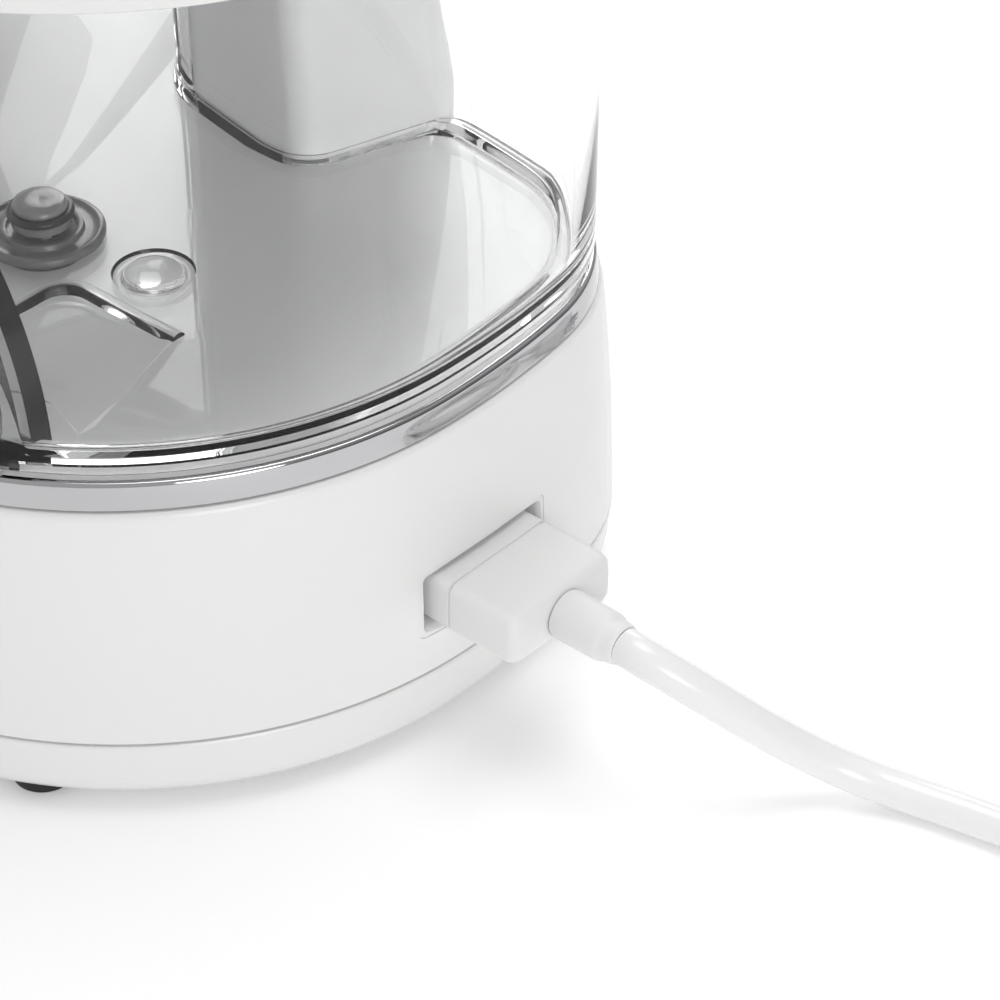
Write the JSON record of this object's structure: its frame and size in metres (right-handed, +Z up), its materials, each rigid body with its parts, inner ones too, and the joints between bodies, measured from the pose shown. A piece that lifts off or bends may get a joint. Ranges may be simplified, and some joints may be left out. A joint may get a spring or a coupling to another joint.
{
  "type": "countertop water flosser",
  "caption": "Countertop water flosser: white pump base with chrome ring, clear lift-off water tank with lid, docked handpiece with jet nozzle, control pod and detachable power lead.",
  "frame": {"origin": "middle of the base's footprint, on the surface the feet stand on", "axes": "+Z up, -Y the front with the control pod, +Y the back with the handpiece dock, +X the side with the power socket"},
  "size_m": [0.2967, 0.2014, 0.2354],
  "materials": {
    "white_plastic": "gloss",
    "satin_plastic": "satin",
    "grey_plastic": "matte",
    "dark_plastic": "matte",
    "board": "matte",
    "tube_plastic": "translucent",
    "clear_plastic": "clear gloss",
    "rubber": "matte",
    "cord_sheath": "satin",
    "chrome": "polished",
    "steel": "brushed",
    "brass": "polished"
  },
  "bodies": {
    "base": {"base_housing": "white_plastic", "bottom_pan": "white_plastic", "chrome_ring": "chrome", "foot_1": "rubber", "foot_2": "rubber", "foot_3": "rubber", "foot_4": "rubber", "pan_screw_1": "steel", "pan_screw_2": "steel", "pan_screw_3": "steel", "pan_screw_4": "steel", "dock_tower": "satin_plastic", "hose_outlet": "grey_plastic", "control_pod": "white_plastic", "pod_gasket": "rubber", "pressure_regulator": "dark_plastic", "switch_board": "board", "motor": "steel", "motor_bracket": "steel", "pump_head": "grey_plastic", "inlet_spigot": "grey_plastic", "inlet_tube": "tube_plastic", "outlet_tube": "tube_plastic", "power_socket": "satin_plastic", "socket_pin_1": "brass", "socket_pin_2": "brass", "circuit_board": "board"},
    "dial": {"pressure_dial": "grey_plastic"},
    "power_button": {"power_button": "grey_plastic"},
    "mode_button": {"mode_button": "grey_plastic"},
    "gear": {"drive_gear": "satin_plastic"},
    "pinion": {"motor_pinion": "brass"},
    "piston": {"pump_piston": "satin_plastic"},
    "tank": {"tank_shell": "clear_plastic", "valve_seat": "dark_plastic", "valve_spring": "steel"},
    "valve": {"valve_plunger": "grey_plastic", "valve_o_ring": "rubber"},
    "lid": {"lid_shell": "white_plastic", "lid_gasket": "rubber", "spare_tip_1": "tube_plastic", "spare_tip_2": "tube_plastic"},
    "tip_cover": {"tip_cover": "white_plastic"},
    "handpiece": {"handle_body": "white_plastic", "handle_grip": "grey_plastic", "handle_cap": "white_plastic", "handle_hose_inlet": "grey_plastic", "handle_flow_tube": "tube_plastic"},
    "pause_button": {"pause_button": "grey_plastic"},
    "collar": {"nozzle_collar": "grey_plastic"},
    "nozzle": {"jet_nozzle": "clear_plastic", "nozzle_tip": "satin_plastic"},
    "lead": {"lead_connector": "satin_plastic", "lead_strain_relief": "satin_plastic", "power_lead": "cord_sheath", "lead_coil": "cord_sheath", "lead_tail": "cord_sheath", "mains_plug": "cord_sheath", "plug_blade_1": "brass", "plug_blade_2": "brass"}
  },
  "joints": [
    {"name": "dial_turn", "type": "hinge", "parent": "base", "child": "dial", "pos_m": [0, -0.0605, 0.088], "axis": [0, 1, 0], "range_deg": [0, 270]},
    {"name": "power_button_press", "type": "slide", "parent": "base", "child": "power_button", "axis": [0, 1, 0], "range_m": [0, 0.0012], "stiffness_N_per_m": 500},
    {"name": "mode_button_press", "type": "slide", "parent": "base", "child": "mode_button", "axis": [0, 1, 0], "range_m": [0, 0.0012], "stiffness_N_per_m": 500},
    {"name": "gear_spin", "type": "hinge", "parent": "base", "child": "gear", "pos_m": [0, -0.01, 0.024], "axis": [1, 0, 0], "continuous": true},
    {"name": "pinion_spin", "type": "hinge", "parent": "base", "child": "pinion", "pos_m": [0, 0.008, 0.024], "axis": [1, 0, 0], "continuous": true},
    {"name": "piston_stroke", "type": "slide", "parent": "base", "child": "piston", "axis": [0, 1, 0], "range_m": [-0.003, 0.003]},
    {"name": "tank_lift", "type": "slide", "parent": "base", "child": "tank", "axis": [0, 0, 1], "range_m": [0, 0.12]},
    {"name": "valve_lift", "type": "slide", "parent": "tank", "child": "valve", "axis": [0, 0, 1], "range_m": [0, 0.003], "stiffness_N_per_m": 200, "springref_m": -0.002, "deforming": ["valve_spring"]},
    {"name": "lid_lift", "type": "slide", "parent": "tank", "child": "lid", "axis": [0, 0, 1], "range_m": [0, 0.06]},
    {"name": "tip_cover_open", "type": "hinge", "parent": "lid", "child": "tip_cover", "pos_m": [0.033, 0.0119, 0.152], "axis": [-1, 0, 0], "range_deg": [0, 100]},
    {"name": "handpiece_lift", "type": "slide", "parent": "base", "child": "handpiece", "axis": [0, 0, 1], "range_m": [0, 0.12]},
    {"name": "pause_press", "type": "slide", "parent": "handpiece", "child": "pause_button", "axis": [0, -1, 0], "range_m": [0, 0.0015], "stiffness_N_per_m": 400},
    {"name": "nozzle_turn", "type": "hinge", "parent": "handpiece", "child": "collar", "pos_m": [-0.003, 0.0502, 0.16], "axis": [0, 0, 1], "continuous": true},
    {"name": "nozzle_pull", "type": "slide", "parent": "collar", "child": "nozzle", "axis": [0, 0, 1], "range_m": [0, 0.03]},
    {"name": "lead_unplug", "type": "slide", "parent": "base", "child": "lead", "axis": [1, 0, 0], "range_m": [0, 0.03]}
  ],
  "couplings": [
    {"joint": "pinion_spin", "follows": "gear_spin", "ratio": -3.5}
  ]
}
